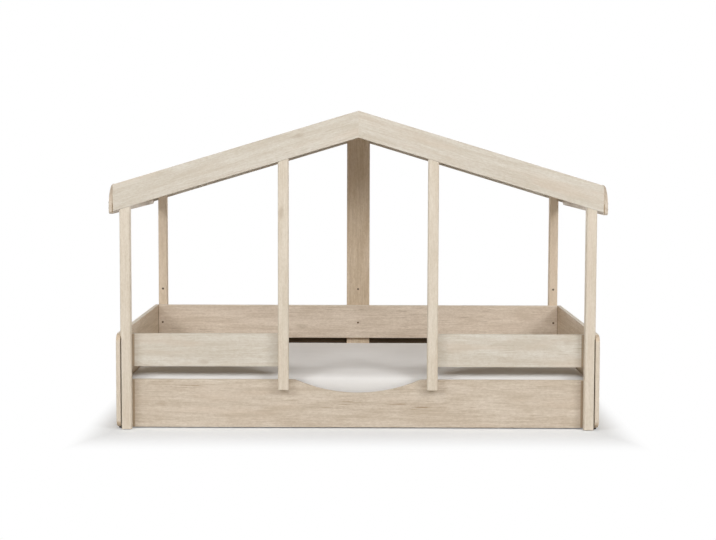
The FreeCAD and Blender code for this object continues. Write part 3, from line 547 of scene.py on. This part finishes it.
def mattress_surface(rings=64, around=256):
    """Closed pillow form on a grid of height angle and plan angle.

    x = a c(h)^e c(p)^s, y = b c(h)^e s(p)^s, z = t s(h)^e, where c and s are cosine
    and sine, e is the softness of the edge above or below, and s that of the plan.
    """
    height = np.linspace(-math.pi / 2, math.pi / 2, rings)[1:-1, None]
    plan = np.linspace(0, 2 * math.pi, around, endpoint=False)[None, :]
    middle_z = low[2] + MIDDLE_SHARE * (high[2] - low[2])
    softness = np.where(height > 0, TOP_SOFTNESS, UNDERSIDE_SOFTNESS)
    spread = power(np.cos(height), softness)
    half_x = (high[0] - low[0]) / 2 - COVER_PLAY
    half_y = (high[1] - low[1]) / 2 - COVER_PLAY
    rise = np.where(height > 0, high[2] + FOAM_TOP_SWELL - SWELL_LIMIT / 2 - middle_z,
                    middle_z - low[2] - COVER_PLAY / 2)
    x = half_x * spread * power(np.cos(plan), PLAN_SQUARENESS)
    y = half_y * spread * power(np.sin(plan), PLAN_SQUARENESS)
    z = middle_z + rise * power(np.sin(height), softness) * np.ones_like(plan)
    grid = np.stack([x, y, z], axis=-1).reshape(-1, 3)
    centre = (low[0] + high[0]) / 2, (low[1] + high[1]) / 2
    grid += (*centre, 0)
    poles = np.array([(*centre, middle_z - rise.min()), (*centre, middle_z + rise.max())])
    levels = rings - 2
    below = np.arange((levels - 1) * around).reshape(levels - 1, around)
    beside = np.roll(below, -1, axis=1)
    quads = np.stack([below, beside, beside + around, below + around], axis=-1).reshape(-1, 4)
    first = np.arange(around)
    following = np.roll(first, -1)
    top = (levels - 1) * around
    foot_pole = np.full(around, len(grid))
    foot_cap = np.stack([foot_pole, following, first], axis=-1)
    top_cap = np.stack([top + first, top + following, foot_pole + 1], axis=-1)
    mesh = bpy.data.meshes.new("mattress_pad")
    mesh.from_pydata(np.vstack([grid, poles]).tolist(), [],
                     quads.tolist() + foot_cap.tolist() + top_cap.tolist())
    return mesh


def set_out(name, data):
    """A new object in the scene."""
    item = bpy.data.objects.new(name, data)
    scene.collection.objects.link(item)
    return item


def points_of(mesh):
    """The mesh's vertices as rows of an array."""
    places = np.empty(len(mesh.vertices) * 3)
    mesh.vertices.foreach_get("co", places)
    return places.reshape(-1, 3)


def put_points(mesh, places):
    """Moves the mesh's vertices to the rows of an array."""
    mesh.vertices.foreach_set("co", places.ravel())
    mesh.update()


def work_in(piece):
    """Makes the piece's modifiers part of its mesh."""
    view = bpy.context.evaluated_depsgraph_get()
    mesh = bpy.data.meshes.new_from_object(piece.evaluated_get(view))
    piece.modifiers.clear()
    piece.data = mesh


def inflate(piece):
    """Blows the cover up against the foam as cloth, and caps how far each point goes."""
    remesh = piece.modifiers.new("even", "REMESH")
    remesh.mode = "VOXEL"
    remesh.voxel_size = VOXEL
    work_in(piece)
    before = points_of(piece.data)
    cloth = piece.modifiers.new("cover", "CLOTH")
    cloth.settings.use_pressure = True
    cloth.settings.uniform_pressure_force = PRESSURE
    cloth.settings.shrink_min = -COVER_EASE
    cloth.settings.effector_weights.gravity = 0.0
    cloth.settings.quality = 5
    scene.frame_start, scene.frame_end = 1, SWELL_FRAMES
    cloth.point_cache.frame_start, cloth.point_cache.frame_end = 1, SWELL_FRAMES
    for step in range(1, SWELL_FRAMES + 1):
        scene.frame_set(step)
    work_in(piece)
    move = points_of(piece.data) - before
    length = np.linalg.norm(move, axis=1, keepdims=True)
    move *= np.minimum(1.0, SWELL_LIMIT / np.maximum(length, 1e-9))
    put_points(piece.data, before + move)
    scene.frame_set(1)


pad = set_out("mattress_pad", mattress_surface())
inflate(pad)
places = points_of(pad.data)
places[:, 2] = np.maximum(places[:, 2], low[2])
for axis in (0, 1):
    places[:, axis] = np.clip(places[:, axis], low[axis] - COVER_PLAY, high[axis] + COVER_PLAY)
put_points(pad.data, places)
finer = pad.modifiers.new("finer", "SUBSURF")
finer.levels = finer.render_levels = 1
pad.data.polygons.foreach_set("use_smooth", [True] * len(pad.data.polygons))

KNIT_WHITE = (0.775, 0.770, 0.765)
KNIT_SHADE = (0.660, 0.655, 0.650)


def knitted(name, colour, dark):
    """Brushed knit: small loops, soft clouds and long shallow creases."""
    material, tree, shader, where = plain_material(name, colour, roughness=0.92)
    loops = add(tree, "ShaderNodeTexVoronoi", {"Vector": stretched(tree, where, 260.0, 420.0),
                                               "Scale": 1.0, "Randomness": 0.35})
    loop = loops.outputs["Distance"]
    cloud = between(tree, noise(tree, where, 9.0, 4.0), 0.45, 0.7)
    shaded = blend_colours(tree, times(tree, loop, 0.45), colour, dark)
    shaded = blend_colours(tree, times(tree, cloud, 0.18), shaded, dark)
    tree.links.new(shaded, shader.inputs["Base Color"])
    creases = drawn_noise(tree, where, 2.2, 9.0)
    height = plus(tree, times(tree, creases, 8.0), times(tree, loop, -0.25))
    emboss(tree, shader, height, strength=0.6, distance=0.0012)
    shader.inputs["Sheen Weight"].default_value = 0.25
    shader.inputs["Sheen Roughness"].default_value = 0.6
    return material


pad.data.materials.append(knitted("white_knit", KNIT_WHITE, KNIT_SHADE))
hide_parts("mattress")
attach(pad, "mattress")


# ------------------------------------------------------------------- studio
# A pale floor that takes the bed's shadow and fades into white round it, a dim warm
# room that shows white behind the bed, four lamps, and a brown card over the roof.

WHITE = (1.0, 1.0, 1.0)
FLOOR_REACH = 7.0
FLOOR_PALE = (0.765, 0.795, 0.830)
FLOOR_BOUNCE = (0.790, 0.785, 0.770)
SHADOW_LIFT = 0.13
# How far from the bed's middle the floor starts to fade, and how far out it is white.
SIDE_FADE = (1.020, 1.180)
DEPTH_FADE = (0.570, 0.960)


def seen_directly(tree):
    """1 where the camera or a reflection looks, and 0 for light that bounces."""
    rays = add(tree, "ShaderNodeLightPath")
    return plus(tree, rays.outputs["Is Camera Ray"], rays.outputs["Is Glossy Ray"], clamp=True)


def floor_paint():
    """Matt and lightly lifted beside the bed, and plain white beyond both fades."""
    material = bpy.data.materials.new("studio_floor")
    material.use_nodes = True
    tree = material.node_tree
    tree.nodes.clear()
    place = add(tree, "ShaderNodeTexCoord").outputs["Object"]
    apart = add(tree, "ShaderNodeSeparateXYZ", {0: place})
    past_side = between(tree, sums(tree, "ABSOLUTE", apart.outputs["X"]), *SIDE_FADE)
    past_end = between(tree, sums(tree, "ABSOLUTE", apart.outputs["Y"]), *DEPTH_FADE)
    fade = sums(tree, "MAXIMUM", past_side, past_end)
    pale = add(tree, "ShaderNodeBsdfDiffuse", {"Color": (*FLOOR_PALE, 1)})
    lift = add(tree, "ShaderNodeEmission", {"Color": (*WHITE, 1), "Strength": SHADOW_LIFT})
    both = add(tree, "ShaderNodeAddShader", {0: pale.outputs[0], 1: lift.outputs[0]})
    white = add(tree, "ShaderNodeEmission", {"Color": (*WHITE, 1), "Strength": 1.0})
    shown = add(tree, "ShaderNodeMixShader", {0: fade, 1: both.outputs[0], 2: white.outputs[0]})
    bounce = add(tree, "ShaderNodeBsdfDiffuse", {"Color": (*FLOOR_BOUNCE, 1)})
    mixed = add(tree, "ShaderNodeMixShader",
                {0: seen_directly(tree), 1: bounce.outputs[0], 2: shown.outputs[0]})
    add(tree, "ShaderNodeOutputMaterial", {0: mixed.outputs[0]})
    return material


floor_mesh = bpy.data.meshes.new("floor")
floor_mesh.from_pydata([(FLOOR_REACH * x, FLOOR_REACH * y, 0)
                        for x, y in ((-1, -1), (1, -1), (1, 1), (-1, 1))], [], [(0, 1, 2, 3)])
floor = set_out("floor", floor_mesh)
floor.data.materials.append(floor_paint())

AMBIENT = 0.145
AMBIENT_TINT = (1.0, 0.790, 0.530)
scene.world = bpy.data.worlds.new("studio")
scene.world.use_nodes = True
room = scene.world.node_tree
room.nodes.clear()
dim = add(room, "ShaderNodeBackground", {0: (*AMBIENT_TINT, 1), 1: AMBIENT})
white = add(room, "ShaderNodeBackground", {0: (*WHITE, 1), 1: 1.0})
sky = add(room, "ShaderNodeMixShader",
          {0: seen_directly(room), 1: dim.outputs[0], 2: white.outputs[0]})
add(room, "ShaderNodeOutputWorld", {0: sky.outputs[0]})


def soft_box(name, place, aim_height, width, height, watts):
    """A rectangular lamp that faces a point above the middle of the floor."""
    lamp = bpy.data.lights.new(name, "AREA")
    lamp.shape = "RECTANGLE"
    lamp.size, lamp.size_y = width, height
    lamp.energy = watts
    item = set_out(name, lamp)
    x, y = -place[0], -place[1]
    fall = math.atan2(aim_height - place[2], math.hypot(x, y))
    item.rotation_euler = (math.pi / 2 + fall, 0, math.atan2(-x, y))
    item.location = place


soft_box("key", (0, -15.2, 11.8), aim_height=0.6, width=10.0, height=7.2, watts=1020)
soft_box("side_left", (-5.2, -5.0, 4.2), aim_height=0.6, width=2.8, height=2.8, watts=225)
soft_box("side_right", (5.2, -5.0, 4.2), aim_height=0.6, width=2.8, height=2.8, watts=255)
soft_box("back", (0, 6.5, 0.8), aim_height=0.7, width=3.0, height=1.2, watts=200)

# The card hangs just over the roof, folded to its slope, and keeps the key lamp off the
# upper part of the back. Neither the camera nor a reflection sees it.
CARD_BROWN = (0.260, 0.150, 0.070)
CARD_HEIGHT = 1.45
CARD_REACH = 1.12
CARD_FRONT, CARD_BACK = -0.26, 0.38
card_mesh = bpy.data.meshes.new("shade_card")
card_mesh.from_pydata([(x, y, CARD_HEIGHT - abs(x) * math.tan(ROOF_ANGLE))
                       for y in (CARD_FRONT, CARD_BACK) for x in (-CARD_REACH, 0.0, CARD_REACH)],
                      [], [(0, 1, 4, 3), (1, 2, 5, 4)])
card = set_out("shade_card", card_mesh)
card.visible_camera = card.visible_glossy = False
card_mesh.materials.append(plain_material("shade_brown", CARD_BROWN, roughness=0.5)[0])


# ------------------------------------------------------------------- camera
# A little above the eaves, 6.1 m in front of the bed's middle, looking slightly down.
# The lens and the shift put the frame where the photograph has it.

IMAGE_WIDTH, IMAGE_HEIGHT = 716, 540
LENS_PIXELS = 1323.0
AXIS_COLUMN, AXIS_ROW = 358.25, 233.92
DOWN_DEGREES = 3.543
ROLL_DEGREES = 0.17
CAMERA_PLACE = (0, -6.112, 1.1793)
camera_data = bpy.data.cameras.new("camera")
camera = set_out("camera", camera_data)
camera_data.sensor_width = 36.0
camera_data.lens = LENS_PIXELS / IMAGE_WIDTH * camera_data.sensor_width
camera_data.shift_x = (IMAGE_WIDTH / 2 - AXIS_COLUMN) / IMAGE_WIDTH
camera_data.shift_y = (AXIS_ROW - IMAGE_HEIGHT / 2) / IMAGE_WIDTH
camera_data.clip_end = 100.0
look = Matrix.Rotation(math.pi / 2 - math.radians(DOWN_DEGREES), 4, "X")
tilt = Matrix.Rotation(math.radians(ROLL_DEGREES), 4, "Z")
camera.matrix_world = Matrix.Translation(CAMERA_PLACE) @ look @ tilt
scene.camera = camera

scene.view_settings.view_transform = "Standard"
